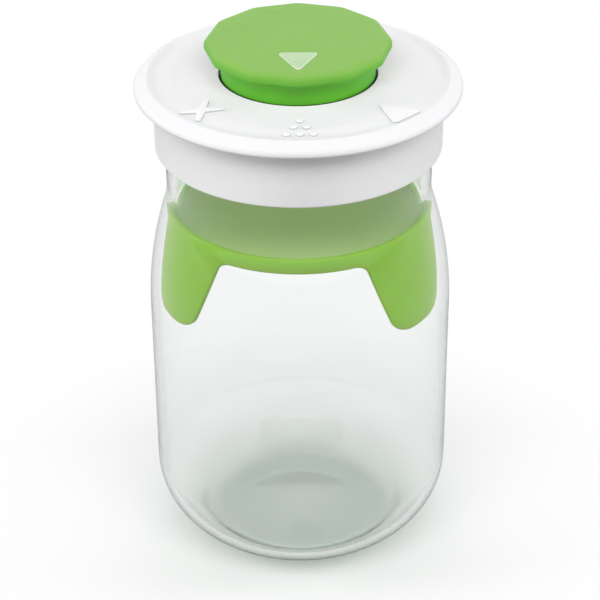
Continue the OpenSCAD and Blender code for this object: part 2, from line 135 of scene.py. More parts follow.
# Soft valley inside the rim band, where the solid has a narrow groove
VALLEY_W = 8.5
VALLEY_LOW = 3.0
VALLEY_H = 0.36
VALLEY_END = 0.6
VALLEY_RINGS = 24
DECK_RINGS = (30, 35)

# Small rounds of the saucer
SAUCER_EDGE = 0.2
CREASE_ROUND = 1.2
BAND_LOW_ROUND = 0.9
BAND_IN_ROUND = 0.6
BAND_IN_H = 1.2
UNDER_OUT_ROUND = 0.3
UNDER_IN_ROUND = 0.4

# Raised signs on the deck, which the solids don't have
MARK_H = 0.6
MARK_ROOT = 0.7
MARK_EDGE = 0.3
CROSS_R = 40.8
CROSS_AT = -46.6
CROSS_L = 13.9
CROSS_W = 2.6
CROSS_TURN = 37.0
CROSS_FILLET = 0.4
TIP_ROUNDNESS = 0.96
DOTS_R = 40.1
DOTS_AT = 0.5
DOT_ROWS = 3
DOT_D = 2.6
DOT_STEP = 4.1
DOT_EDGE = 0.42
TRI_R = 41.4
TRI_AT = 45.0
TRI_L = 12.0
TRI_W = 12.0
TRI_ROUND = 1.3
TRI_WIDEN = 0.52

# Knob
KNOB_D = 59.6
KNOB_SIDES = 12
CORNER_SHARPNESS = 90.0
KNOB_TOP_Z = 182.4
HEAD_T = 3.8
HEAD_ROUND = 2.2
LIP_ROUND = 0.8
LIP_START = -60
FLARE_H = 5.6
FLARE_ROWS = 22
STEM_R = 24.7
STEM_IN_R = 22.5
STEM_LOW_Z = 153.3
STEM_TOP_DROP = 2.0
GUIDE_R = 25.2
GUIDE_H = 5.4
HOLLOW_Z = 179.8
SIDE_STEPS = 32
KNOB_SHARP = 30

# Pointer in the top of the knob
POINTER_W = 12.0
POINTER_L = 12.5
POINTER_TIP_R = 24.3
POINTER_ROUND = 0.9
POINTER_T = 1.2
POINTER_PROUD = 0.15
POINTER_GAP = 0.08
POINTER_EDGE = 0.25
POCKET_BEVEL = 0.12
TIP_CLEARANCE = 0.01

# Heights between which a colour changes: the painted sheen on the knob's top, the painted shade down in the
# well, and the press's bead, which is kept out of the painted light on the plate
PAINTED_SHEEN_LOW_Z = KNOB_TOP_Z - HEAD_T
PAINTED_SHEEN_HIGH_Z = KNOB_TOP_Z - 0.2
PAINTED_SHADE_LOW_Z = DECK_Z - 0.35
PAINTED_SHADE_HIGH_Z = DECK_Z + 0.1
BEAD_LOW_Z = PRESS_RIM_Z - PRESS_BEAD_H + 0.1
BEAD_HIGH_Z = PRESS_RIM_Z - 0.4

# Floor, world and camera, with lengths in metres
FLOOR_SIZE = 6.0
FLOOR_DROP = 0.0002
FLOOR_PAINT = 0.9
FLOOR_BOUNCE = 0.37
FLOOR_GLOW = 0.07
FLOOR_GLOSS = 0.25
SHADOW_CENTRE = (0, -0.03, 0)
SHADOW_FULL_R = 0.05
SHADOW_END_R = 0.15
WORLD_FILL = 0.34
WHITE = (1, 1, 1, 1)
CAMERA_AIM = (0, 0, 0.08583)
CAMERA_DISTANCE = 0.68175
CAMERA_LIFT = 30.9
CAMERA_ROLL = -0.45
CAMERA_SENSOR = 36.0
CAMERA_LENS = 120.24
CAMERA_CLIP = 0.02

# Lamps: name, place, aim, width and height in metres, power in watts
LAMPS = (
    ("key_lamp", (0, -0.85, 1.19), (0, 0, 0.1), 1.6, 0.6, 13.1),
    ("left_lamp", (-1.2, -0.1, 0.34), (0, 0, 0.1), 0.4, 1.1, 7.3),
    ("right_lamp", (1.2, 0, 0.34), (0, 0, 0.1), 0.4, 1.1, 6.6),
    ("back_lamp", (0, 1.2, 0.34), (0, 0, 0.12), 1.4, 0.4, 5.5),
)


# Curves and meshes

def arc(centre, rx, ry, start, end, n):
    """Points on an elliptic arc of n steps, with angles in degrees."""
    angles = np.radians(np.linspace(start, end, n + 1))
    return [(centre[0] + rx*math.cos(a), centre[1] + ry*math.sin(a)) for a in angles]


def rounded(corners, steps, closed=True):
    """Outline through corners (x, y, radius), each rounded by its radius."""
    outline = []
    for i, (x, y, radius) in enumerate(corners):
        at_end = not closed and i in (0, len(corners) - 1)
        if radius == 0 or at_end:
            outline.append((x, y))
            continue
        here = Vector((x, y))
        before = (Vector(corners[i - 1][:2]) - here).normalized()
        after = (Vector(corners[(i + 1) % len(corners)][:2]) - here).normalized()
        half = before.angle(after)/2
        centre = here + (before + after).normalized()*radius/math.sin(half)
        first = here + before*radius/math.tan(half) - centre
        last = here + after*radius/math.tan(half) - centre
        start = math.atan2(first.y, first.x)
        sweep = (math.atan2(last.y, last.x) - start + math.pi) % (2*math.pi) - math.pi
        for k in range(steps + 1):
            angle = start + sweep*k/steps
            outline.append((centre.x + radius*math.cos(angle), centre.y + radius*math.sin(angle)))
    return outline


def finish_mesh(name, build, sharp=38):
    """Object from a bmesh in millimetres, smooth except at edges sharper than an angle."""
    bmesh.ops.remove_doubles(build, verts=build.verts, dist=1e-4)
    bmesh.ops.recalc_face_normals(build, faces=build.faces)
    bmesh.ops.scale(build, vec=(MM, MM, MM), verts=build.verts)
    mesh = bpy.data.meshes.new(name)
    build.to_mesh(mesh)
    build.free()
    mesh.shade_smooth()
    mesh.set_sharp_from_angle(angle=math.radians(sharp))
    piece = bpy.data.objects.new(name, mesh)
    bpy.context.scene.collection.objects.link(piece)
    return piece


def add_rows(build, rows, join_ends=False):
    """Quads between closed rows of points. A row of one point closes the mesh to a tip."""
    made = [[build.verts.new(p) for p in row] for row in rows]
    pairs = list(zip(made, made[1:]))
    if join_ends:
        pairs.append((made[-1], made[0]))
    for low, high in pairs:
        n = max(len(low), len(high))
        for i in range(n):
            k = (i + 1) % n
            if len(low) == 1:
                build.faces.new((low[0], high[k], high[i]))
            elif len(high) == 1:
                build.faces.new((low[i], low[k], high[0]))
            else:
                build.faces.new((low[i], low[k], high[k], high[i]))
    return made


def lathe_rows(profile, steps, shift=None):
    """Rows of points of a turned profile. shift gives a change of radius at a radius, height and angle."""
    rows = []
    for r, z in profile:
        if r < 1e-6:
            rows.append([(0, 0, z)])
            continue
        row = []
        for i in range(steps):
            a = 2*math.pi*i/steps
            radius = r + (shift(r, z, a) if shift else 0)
            row.append((radius*math.cos(a), radius*math.sin(a), z))
        rows.append(row)
    return rows


def smooth_step(x):
    """Smooth rise from 0 to 1 as x goes from 0 to 1."""
    x = min(max(x, 0), 1)
    return x*x*(3 - 2*x)


def thread_fade(turns):
    """Share of a thread's height after some turns, with run-outs at both ends."""
    return smooth_step(turns/RUN_OUT_TURNS)*smooth_step((THREAD_TURNS - turns)/RUN_OUT_TURNS)


def thread_height(z, angle):
    """Height of the glass thread over its wall."""
    best = 0
    for turn in range(-1, 3):
        turns = angle/(2*math.pi) + turn
        if not 0 <= turns <= THREAD_TURNS:
            continue
        away = abs(z - GLASS_THREAD_Z - THREAD_PITCH*turns)/(THREAD_W/2)
        ridge = smooth_step(FLANK_STEEPNESS*(1 - away))
        best = max(best, GLASS_THREAD_H*thread_fade(turns)*ridge)
    return best


def place(points, distance, angle):
    """Points moved out from the axis at an angle from the front, positive to the right."""
    a = math.radians(angle)
    return [(x*math.cos(a) - (y - distance)*math.sin(a), x*math.sin(a) + (y - distance)*math.cos(a))
            for x, y in points]


def inset(outline, distance):
    """Closed outline, anticlockwise, moved inward."""
    moved = []
    n = len(outline)
    for i in range(n):
        before = (Vector(outline[i]) - Vector(outline[i - 1])).normalized()
        after = (Vector(outline[(i + 1) % n]) - Vector(outline[i])).normalized()
        along = (before + after).normalized()
        miter = max(along.dot(after), 0.5)
        normal = Vector((-along.y, along.x))
        moved.append(tuple(Vector(outline[i]) + normal*distance/miter))
    return moved


def add_plateau(build, outline, low_z, high_z, edge, steps=4):
    """Raised flat shape with a rounded upper edge."""
    rows = [[(x, y, low_z) for x, y in outline]]
    for k in range(steps + 1):
        a = math.pi/2*k/steps
        ring = inset(outline, edge*(1 - math.cos(a)))
        rows.append([(x, y, high_z - edge*(1 - math.sin(a))) for x, y in ring])
    made = add_rows(build, rows)
    build.faces.new(made[-1])
    build.faces.new(made[0][::-1])


# Materials

def srgb(red, green, blue):
    """Linear colour from 8-bit values as seen on a screen."""
    linear = [(v/255/12.92 if v <= 10 else ((v/255 + 0.055)/1.055)**2.4) for v in (red, green, blue)]
    return (*linear, 1)


class Surface:
    """A Principled material with shortcuts for its procedural nodes."""

    def __init__(self, name):
        self.material = bpy.data.materials.new(name)
        self.material.use_nodes = True
        self.nodes = self.material.node_tree.nodes
        self.links = self.material.node_tree.links
        self.shader = self.nodes["Principled BSDF"]
        self.coords = self.nodes.new("ShaderNodeTexCoord").outputs["Object"]

    def set(self, **values):
        """Plain values of the shader's sockets."""
        for socket, value in values.items():
            self.shader.inputs[socket.replace("_", " ")].default_value = value

    def noise(self, scale, detail=3.0, stretch=None):
        """Noise with a scale per metre, stretched where a triple of scales is given."""
        vector = self.coords
        if stretch:
            mapping = self.nodes.new("ShaderNodeMapping")
            mapping.inputs["Scale"].default_value = stretch
            self.links.new(vector, mapping.inputs["Vector"])
            vector = mapping.outputs["Vector"]
        node = self.nodes.new("ShaderNodeTexNoise")
        node.inputs["Scale"].default_value = scale
        node.inputs["Detail"].default_value = detail
        node.inputs["Roughness"].default_value = 0.55
        self.links.new(vector, node.inputs["Vector"])
        return node.outputs["Fac"]

    def ramp(self, value, low, high, from_low=0.3, from_high=0.7):
        """Number that follows value, from low to high. The usual span is that of noise."""
        node = self.nodes.new("ShaderNodeMapRange")
        node.inputs["From Min"].default_value = from_low
        node.inputs["From Max"].default_value = from_high
        node.inputs["To Min"].default_value = low
        node.inputs["To Max"].default_value = high
        self.links.new(value, node.inputs["Value"])
        return node.outputs["Result"]

    def mix(self, value, first, second):
        """Colour between two colours, each a colour or a socket."""
        node = self.nodes.new("ShaderNodeMix")
        node.data_type = "RGBA"
        self.links.new(value, node.inputs["Factor"])
        # Inputs 6 and 7 and output 2 are the colour sockets of this node
        for socket, colour in ((node.inputs[6], first), (node.inputs[7], second)):
            if isinstance(colour, tuple):
                socket.default_value = colour
            else:
                self.links.new(colour, socket)
        return node.outputs[2]

    def height(self, low, high):
        """Number from 0 to 1 between two heights in millimetres."""
        split = self.nodes.new("ShaderNodeSeparateXYZ")
        self.links.new(self.coords, split.inputs["Vector"])
        return self.ramp(split.outputs["Z"], 0, 1, low*MM, high*MM)

    def upward(self, low, high):
        """Number from 0 to 1 as the surface turns from its side to its top."""
        split = self.nodes.new("ShaderNodeSeparateXYZ")
        self.links.new(self.nodes.new("ShaderNodeNewGeometry").outputs["Normal"], split.inputs["Vector"])
        return self.ramp(split.outputs["Z"], 0, 1, low, high)

    def bump(self, value, strength, depth):
        """Relief that follows value, with its depth in millimetres, over any relief set before."""
        node = self.nodes.new("ShaderNodeBump")
        node.inputs["Strength"].default_value = strength
        node.inputs["Distance"].default_value = depth*MM
        self.links.new(value, node.inputs["Height"])
        old = self.shader.inputs["Normal"]
        if old.is_linked:
            self.links.new(old.links[0].from_socket, node.inputs["Normal"])
        self.links.new(node.outputs["Normal"], old)

    def colour(self, socket):
        self.links.new(socket, self.shader.inputs["Base Color"])

    def roughness(self, socket):
        self.links.new(socket, self.shader.inputs["Roughness"])


def clear_glass():
    """Soda-lime glass: clear through the wall, grey-green along it, with faint ripples."""
    s = Surface("clear_glass")
    s.set(Base_Color=WHITE, Transmission_Weight=1.0, IOR=1.5, Specular_IOR_Level=0.25)
    s.roughness(s.ramp(s.noise(14, 2), low=0.0, high=0.012))
    s.bump(s.noise(55, 2, stretch=(1, 1, 0.35)), strength=0.12, depth=0.12)
    volume = s.nodes.new("ShaderNodeVolumeAbsorption")
    volume.inputs["Color"].default_value = (0.62, 0.74, 0.69, 1)
    volume.inputs["Density"].default_value = 40.0
    output = s.nodes["Material Output"]
    s.links.new(volume.outputs["Volume"], output.inputs["Volume"])
    # Light passes straight through the glass, less of it where it only grazes the wall
    clear = s.nodes.new("ShaderNodeBsdfTransparent")
    lean = s.nodes.new("ShaderNodeLayerWeight")
    lean.inputs["Blend"].default_value = 0.5
    through = (0.98, 0.985, 0.98, 1)
    grazing = (0.6, 0.63, 0.61, 1)
    shade = s.mix(lean.outputs["Facing"], through, grazing)
    s.links.new(shade, clear.inputs["Color"])
    path = s.nodes.new("ShaderNodeLightPath")
    shown = s.shader.outputs["BSDF"]
    for ray in ("Is Shadow Ray", "Is Diffuse Ray"):
        pick = s.nodes.new("ShaderNodeMixShader")
        s.links.new(path.outputs[ray], pick.inputs["Fac"])
        s.links.new(shown, pick.inputs[1])
        s.links.new(clear.outputs["BSDF"], pick.inputs[2])
        shown = pick.outputs["Shader"]
    s.links.new(shown, output.inputs["Surface"])
    return s.material


def moulded_white(name, low, high):
    """Satin white moulding with a fine spark-eroded grain, between two whites."""
    s = Surface(name)
    s.colour(s.mix(s.noise(38, 4), low, high))
    s.roughness(s.ramp(s.noise(160, 4), low=0.38, high=0.48))
    s.bump(s.noise(2600, 2), strength=0.10, depth=0.05)
    s.bump(s.noise(30, 2), strength=0.06, depth=0.3)
    s.set(Subsurface_Weight=0.12, Subsurface_Scale=0.0012, IOR=1.46, Specular_IOR_Level=0.25)
    return s.material


def white_plastic():
    return moulded_white("white_plastic", srgb(239, 239, 241), srgb(245, 245, 246))


def cap_white():
    return moulded_white("cap_white", srgb(242, 242, 243), srgb(247, 247, 247))


def sign_white():
    """White of the raised signs, bright on top, with painted shade on their sides."""
    s = Surface("sign_white")
    top = s.mix(s.noise(90, 4), srgb(249, 249, 250), srgb(252, 252, 252))
    # Painted shade: the sides of the signs are grey, their tops white
    s.colour(s.mix(s.upward(0.35, 0.9), srgb(196, 197, 199), top))
    s.roughness(s.ramp(s.noise(240, 4), low=0.40, high=0.50))
    s.bump(s.noise(2600, 2), strength=0.08, depth=0.04)
    s.set(Subsurface_Weight=0.12, Subsurface_Scale=0.0012, IOR=1.46)
    return s.material


def green_plastic():
    """Matt green moulding, with a painted sheen that makes the top paler and painted shade that darkens the
    stem down in the well.
    """
    s = Surface("green_plastic")
    deep = s.mix(s.noise(70, 4), srgb(85, 178, 28), srgb(93, 184, 35))
    # Painted sheen: the top of the head is a paler green than the stem, standing in for light on it
    painted_sheen_top = s.mix(s.noise(45, 5), srgb(132, 184, 82), srgb(142, 190, 92))
    shown = s.mix(s.height(PAINTED_SHEEN_LOW_Z, PAINTED_SHEEN_HIGH_Z), deep, painted_sheen_top)
    # Painted shade: the stem turns dark green below the deck, down in the gap of the well
    with_painted_shade = s.mix(s.height(PAINTED_SHADE_LOW_Z, PAINTED_SHADE_HIGH_Z), srgb(24, 70, 14), shown)
    # The light that it throws on the deck is almost neutral, so the deck stays white
    path = s.nodes.new("ShaderNodeLightPath")
    s.colour(s.mix(path.outputs["Is Diffuse Ray"], with_painted_shade, srgb(202, 209, 196)))
    s.roughness(s.ramp(s.noise(220, 4), low=0.46, high=0.58))
    s.bump(s.noise(2400, 3), strength=0.14, depth=0.06)
    s.set(Subsurface_Weight=0.08, Subsurface_Scale=0.001, IOR=1.47)
    return s.material


def green_silicone():
    """Soft green silicone with cloudy colour and a matt skin, with painted light that makes the upward
    faces of the plate inside the bead paler.
    """
    s = Surface("green_silicone")
    cloudy = s.mix(s.noise(32, 4), srgb(152, 211, 44), srgb(162, 217, 54))
    # Painted light: the upward faces of the plate are a paler green
    plate = s.mix(s.upward(0.5, 0.95), cloudy, srgb(194, 231, 142))
    s.colour(s.mix(s.height(BEAD_LOW_Z, BEAD_HIGH_Z), plate, cloudy))
    s.roughness(s.ramp(s.noise(130, 3), low=0.46, high=0.58))
    s.bump(s.noise(900, 3), strength=0.06, depth=0.06)
    s.set(Subsurface_Weight=1.0, Subsurface_Scale=0.007, Subsurface_Radius=(0.7, 1.0, 0.3))
    s.set(IOR=1.42, Specular_IOR_Level=0.1)
    return s.material


def pale_plastic():
    """Pale green see-through inlay, cloudy inside, with a painted highlight along its edge."""
    s = Surface("pale_plastic")
    face = s.mix(s.noise(120, 3), srgb(181, 213, 161), srgb(193, 220, 178))
    # Painted highlight: the rounded edge of the inlay is paler than its flat face
    s.colour(s.mix(s.upward(0.8, 0.98), srgb(236, 245, 230), face))
    s.roughness(s.ramp(s.noise(300, 3), low=0.28, high=0.38))
    s.bump(s.noise(1800, 2), strength=0.08, depth=0.04)
    s.set(Subsurface_Weight=0.3, Subsurface_Scale=0.001, IOR=1.49)
    return s.material


def clear_silicone():
    """Milky silicone of the seals."""
    s = Surface("clear_silicone")
    s.colour(s.mix(s.noise(90, 3), srgb(219, 222, 219), srgb(229, 231, 228)))
    s.roughness(s.ramp(s.noise(260, 3), low=0.38, high=0.5))
    s.bump(s.noise(1500, 2), strength=0.08, depth=0.05)
    s.set(Transmission_Weight=0.25, Subsurface_Weight=0.3, Subsurface_Scale=0.0015, IOR=1.41)
    return s.material


def dark_rubber():
    """Black rubber of the spindle's ring."""
    s = Surface("dark_rubber")
    s.colour(s.mix(s.noise(400, 4), srgb(42, 42, 43), srgb(56, 56, 57)))
    s.roughness(s.ramp(s.noise(900, 3), low=0.5, high=0.68))
    s.bump(s.noise(3000, 2), strength=0.15, depth=0.03)
    return s.material


def washer_plastic():
    """Slippery cream plastic of the thrust washer, with a fine grain."""
    s = Surface("washer_plastic")
    s.colour(s.mix(s.noise(200, 3), srgb(222, 219, 206), srgb(232, 229, 218)))
    s.roughness(s.ramp(s.noise(500, 3), low=0.34, high=0.46))
    s.bump(s.noise(2200, 2), strength=0.1, depth=0.03)
    return s.material


def clip_steel():
    """Stamped stainless spring steel with a fine rolled grain."""
    s = Surface("clip_steel")
    s.colour(s.mix(s.noise(700, 4, stretch=(1, 8, 8)), srgb(186, 188, 190), srgb(214, 215, 216)))
    s.roughness(s.ramp(s.noise(900, 3, stretch=(1, 9, 9)), low=0.22, high=0.38))
    s.bump(s.noise(1600, 2, stretch=(1, 9, 9)), strength=0.12, depth=0.02)
    s.set(Metallic=1.0)
    return s.material


FINISHES = {make.__name__: make() for make in (
    clear_glass, white_plastic, cap_white, sign_white, green_plastic, green_silicone, pale_plastic,
    clear_silicone, dark_rubber, washer_plastic, clip_steel)}

# Finish of each solid that is shown as it is
CAD_FINISH = {
    "lid_gasket": "clear_silicone",
    "screw_cap": "cap_white",
    "check_valve": "clear_silicone",
    "knob_core": "white_plastic",
    "port_seal": "clear_silicone",
    "spindle_o_ring": "dark_rubber",
    "thrust_washer": "washer_plastic",
    "retaining_clip": "clip_steel",
}
for node_name, finish in CAD_FINISH.items():
    node_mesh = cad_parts[node_name].data
    node_mesh.materials.clear()
    node_mesh.materials.append(FINISHES[finish])


def dress(piece, body, finish, node=None):
    """Give a piece its finish and its body, and hide the solid that it is shown in place of."""
    piece.data.materials.append(FINISHES[finish])
    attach(piece, body)
    if node:
        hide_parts(node)


# Glass jar

def shoulder(r0, r1):
    """Profile from the straight wall of radius r0 up to the neck of radius r1."""
    turn = 2*math.degrees(math.atan((r0 - r1)/SHOULDER_H))
    bulge = (SHOULDER_H - NECK_BLEND_H)/math.sin(math.radians(turn))
    blend = NECK_BLEND_H/math.sin(math.radians(turn))
    top_z = SHOULDER_Z + SHOULDER_H
    return (arc((r0 - bulge, SHOULDER_Z), bulge, bulge, 0, turn, n=26)
            + arc((r1 + blend, top_z), blend, blend, 180 + turn, 180, n=10)[1:])


def make_glass():
    """The jar as one turned wall, with its thread as a change of the neck's radius."""
    foot_in_r = FOOT_R - FOOT_W
    mouth_r = NECK_R - NECK_WALL
    heel_end = math.degrees(math.acos((FOOT_R - BODY_R + HEEL_W)/HEEL_W))
    heel_z = HEEL_H*math.sin(math.radians(heel_end))
    inner_h = HEEL_H - GLASS_WALL
    inner_end = math.degrees(math.asin((heel_z - FLOOR_Z)/inner_h))
    heel_c = (BODY_R - HEEL_W, heel_z)
    hollow = []
    for i in range(HOLLOW_STEPS + 1):
        share = i/HOLLOW_STEPS
        hollow.append((foot_in_r*share, PUSH_UP*(1 + math.cos(math.pi*share))/2))
    neck_low_z = SHOULDER_Z + SHOULDER_H + NECK_PLAIN_H
    thread_rows = [(NECK_R, z) for z in np.arange(neck_low_z, RIM_Z - RIM_PLAIN_H, NECK_ROW_H)]
    rim_z = RIM_Z - RIM_ROUND
    profile = (hollow
               + arc(heel_c, HEEL_W, HEEL_H, -heel_end, 0, n=32)
               + shoulder(BODY_R, NECK_R)
               + thread_rows
               + arc((NECK_R - RIM_ROUND, rim_z), RIM_ROUND, RIM_ROUND, 0, 90, n=7)
               + arc((mouth_r + RIM_ROUND, rim_z), RIM_ROUND, RIM_ROUND, 90, 180, n=7)
               + shoulder(BODY_R - GLASS_WALL, mouth_r)[::-1]
               + arc(heel_c, HEEL_W - GLASS_WALL, inner_h, 0, -inner_end, n=28)
               + [(r, FLOOR_Z) for r in FLOOR_RINGS])

    def shift(r, z, angle):
        on_neck = z >= neck_low_z and math.isclose(r, NECK_R)
        return thread_height(z, angle) if on_neck else 0

    build = bmesh.new()
    add_rows(build, lathe_rows(profile, GLASS_STEPS, shift))
    dress(finish_mesh("glass_body", build), "jar", "clear_glass", "glass_jar")


# Food press

def press_r(z):
    """Outer radius of the press at a height."""
    u = (PRESS_RIM_Z - z)/PRESS_H
    return PRESS_RIM_R + (PRESS_TIP_R - PRESS_RIM_R)*u + 4*PRESS_BOW*u*(1 - u)


def press_edge_line():
    """Lower edge of half an opening and half a petal, as (angle from the opening's middle, height)."""
    def half_width(w, r):
        return r*math.sin(math.pi/PETALS - math.asin(w/2/r))

    root_z = PRESS_RIM_Z - PRESS_BAND_H
    tip_z = PRESS_RIM_Z - PRESS_H
    root = half_width(PETAL_ROOT_W, press_r(root_z))
    tip = half_width(PETAL_TIP_W, PRESS_TIP_R)
    corners = [(0, root_z, 0), (root, root_z, OPENING_ROUND), (tip, tip_z, PETAL_ROUND), (2*tip, tip_z, 0)]
    outline = rounded(corners, steps=14, closed=False)
    fine = []
    for (x0, z0), (x1, z1) in zip(outline, outline[1:]):
        n = max(1, round(math.hypot(x1 - x0, z1 - z0)/EDGE_SPACING))
        fine += [(x0 + (x1 - x0)*k/n, z0 + (z1 - z0)*k/n) for k in range(n)]
    line = []
    for x, z in fine:
        sine = x/press_r(z)
        if sine < math.sin(math.pi/PETALS):
            line.append((math.asin(sine), z))
    return line + [(math.pi/PETALS, tip_z)]


def press_columns():
    """Closed lower edge of the press as (angle, height, inward angle, inward height)."""
    half = press_edge_line()
    whole = [(-a, z) for a, z in half[:0:-1]] + half[:-1]
    points = []
    for petal in range(PETALS):
        middle = 2*math.pi*petal/PETALS - math.pi/2 + math.radians(PRESS_TURN)
        points += [(middle + a, z) for a, z in whole]
    columns = []
    n = len(points)
    for i, (a, z) in enumerate(points):
        a0, z0 = points[i - 1]
        a1, z1 = points[(i + 1) % n]
        sweep = (a1 - a0 + math.pi) % (2*math.pi) - math.pi
        along = Vector((sweep*press_r(z), z1 - z0)).normalized()
        columns.append((a, z, -along.y/press_r(z), along.x))
    return columns


def make_press():
    """The press from its plate over the bead, down the petals and up their inside to the plate."""
    columns = press_columns()
    plate_z = PRESS_RIM_Z - PRESS_BEAD_H
    under_z = plate_z - PRESS_PLATE_T
    bead_in_r = PRESS_RIM_R - PRESS_WALL

    def ring(r, z):
        return [(r*math.cos(a + n*PRESS_EDGE), r*math.sin(a + n*PRESS_EDGE), z) for a, _, n, _ in columns]

    def wall(share, top_z, inward):
        """Row on the flank, a share of the way from top_z to the edge round of the petals."""
        row = []
        for a, z, turn, rise in columns:
            low_z = z + rise*PRESS_EDGE
            here = top_z + (low_z - top_z)*share
            r = press_r(here) - inward
            angle = a + turn*PRESS_EDGE
            row.append((r*math.cos(angle), r*math.sin(angle), here))
        return row

    def edge(depth, inward):
        """Row on the edge round, a depth in from the lower edge."""
        row = []
        for a, z, turn, rise in columns:
            here = z + rise*depth
            r = press_r(here) - inward
            row.append((r*math.cos(a + turn*depth), r*math.sin(a + turn*depth), here))
        return row

    # The last point of the rim line only gives the slope of the flank
    rim_line = rounded([
        (PRESS_RIM_R - PLATE_EDGE_W, plate_z, 0),
        (bead_in_r - BEAD_FOOT_W, plate_z, BEAD_FOOT_ROUND),
        (bead_in_r, PRESS_RIM_Z, BEAD_ROUND),
        (PRESS_RIM_R, PRESS_RIM_Z, BEAD_ROUND),
        (PRESS_RIM_R + FLANK_LEAN, PRESS_RIM_Z - FLANK_REACH, 0)], steps=7, closed=False)
    rows = [[(0, 0, plate_z)]]
    rows += [ring(r, plate_z) for r in PLATE_RINGS]
    rows += [ring(r, z) for r, z in rim_line[:-1]]
    flank_z = PRESS_RIM_Z - FLANK_TOP
    rows += [wall(k/FLANK_ROWS, flank_z, 0) for k in range(FLANK_ROWS + 1)]
    for k in range(1, EDGE_STEPS + 1):
        a = math.pi/2*k/EDGE_STEPS
        rows.append(edge(PRESS_EDGE*(1 - math.sin(a)), PRESS_EDGE*(1 - math.cos(a))))
    for k in range(EDGE_STEPS):
        a = math.pi/2*k/EDGE_STEPS
        rows.append(edge(PRESS_EDGE*(1 - math.cos(a)), PRESS_WALL - PRESS_EDGE*(1 - math.sin(a))))
    inner_z = under_z - PRESS_CORNER
    rows += [wall(k/FLANK_ROWS, inner_z, PRESS_WALL) for k in range(FLANK_ROWS, -1, -1)]
    corner_c = (press_r(inner_z) - PRESS_WALL - PRESS_CORNER, inner_z)
    rows += [ring(r, z) for r, z in arc(corner_c, PRESS_CORNER, PRESS_CORNER, 0, 90, n=6)[1:]]
    rows += [ring(r, under_z) for r in PLATE_RINGS[::-1]]
    rows += [[(0, 0, under_z)]]
    build = bmesh.new()
    add_rows(build, rows)
    dress(finish_mesh("press_body", build), "press", "green_silicone", "food_press")


# Lid

def deck_drop(r):
    """Drop of the deck at a radius r below the well's edge, with a soft valley inside the rim band."""
    inward = SAUCER_R - BAND_W - r
    fall = DECK_FALL*min((r - WELL_R)/(SAUCER_R - BAND_W - CREASE_W - WELL_R), 1)
    if inward > VALLEY_LOW:
        dip = smooth_step((VALLEY_W - inward)/(VALLEY_W - VALLEY_LOW))
    else:
        dip = smooth_step(inward/VALLEY_LOW)
    return fall + VALLEY_H*dip


def make_saucer():
    """The saucer as one turned ring, from the collar in the well over the deck to the rim band."""
    crease_r = SAUCER_R - BAND_W
    band_in_r = SAUCER_R - BAND_WALL
    low_z = DECK_Z - BAND_DROP
    collar_z = CAP_TOP_Z - COLLAR_H
    rings = [*DECK_RINGS, *np.linspace(crease_r - VALLEY_W, crease_r - VALLEY_END, VALLEY_RINGS)]
    profile = rounded([
        (WELL_R, collar_z, SAUCER_EDGE),
        (WELL_R, DECK_Z, SAUCER_EDGE),
        *[(r, DECK_Z - deck_drop(r), 0) for r in rings],
        (crease_r, DECK_Z - DECK_FALL, CREASE_ROUND),
        (SAUCER_R, DECK_Z - BAND_FALL, BAND_ROUND),
        (SAUCER_R, low_z, BAND_LOW_ROUND),
        (band_in_r, low_z, BAND_IN_ROUND),
        (band_in_r, low_z + BAND_IN_H, UNDER_OUT_ROUND),
        (crease_r, CAP_TOP_Z, UNDER_IN_ROUND),
        (COLLAR_R, CAP_TOP_Z, 0),
        (COLLAR_R, collar_z, SAUCER_EDGE)], steps=9)
    build = bmesh.new()
    add_rows(build, lathe_rows(profile, SAUCER_STEPS), join_ends=True)
    dress(finish_mesh("saucer_body", build), "lid", "white_plastic", "lid_saucer")


def cross_outline():
    """Outline of a leaning cross with tapered round arms and a small fillet in each inner corner."""
    half = CROSS_W/2
    tip = CROSS_W/3
    leans = [90 - CROSS_TURN, 90 + CROSS_TURN, 270 - CROSS_TURN, 270 + CROSS_TURN]
    corners = []
    for i, lean in enumerate(leans):
        gap = (leans[(i + 1) % 4] - lean) % 360
        c = math.cos(math.radians(lean))
        s = math.sin(math.radians(lean))
        for x, y in ((CROSS_L/2, -tip), (CROSS_L/2, tip)):
            corners.append((x*c - y*s, x*s + y*c, tip*TIP_ROUNDNESS))
        notch = half/math.sin(math.radians(gap/2))
        middle = math.radians(lean + gap/2)
        corners.append((notch*math.cos(middle), notch*math.sin(middle), CROSS_FILLET))
    return rounded(corners, steps=7)


def make_marks():
    """Raised signs of the knob's three settings: shut, bubbles and open."""
    low_z = DECK_Z - MARK_ROOT
    high_z = DECK_Z + MARK_H

    def settle(name, build):
        """Let a sign follow the fall of the deck."""
        for vert in build.verts:
            vert.co.z -= deck_drop(math.hypot(vert.co.x, vert.co.y))
        dress(finish_mesh(name, build), "lid", "sign_white")

    cross = bmesh.new()
    add_plateau(cross, place(cross_outline(), CROSS_R, CROSS_AT), low_z, high_z, MARK_EDGE)
    settle("shut_mark", cross)

    dots = bmesh.new()
    circle = arc((0, 0), DOT_D/2, DOT_D/2, 0, 360, n=32)[:-1]
    for row in range(DOT_ROWS):
        for i in range(row + 1):
            x = (i - row/2)*DOT_STEP
            y = -(row - 1)*DOT_STEP
            spot = place([(px + x, py + y) for px, py in circle], DOTS_R, DOTS_AT)
            add_plateau(dots, spot, low_z, high_z, DOT_EDGE)
    settle("bubble_mark", dots)

    triangle = bmesh.new()
    half_w = TRI_W/2 + TRI_WIDEN
    outline = rounded([
        (0, TRI_L/2 + TRI_ROUND, TRI_ROUND),
        (-half_w, -TRI_L/2, TRI_ROUND),
        (half_w, -TRI_L/2, TRI_ROUND)], steps=8)
    add_plateau(triangle, place(outline, TRI_R, TRI_AT), low_z, high_z, MARK_EDGE)
    settle("open_mark", triangle)


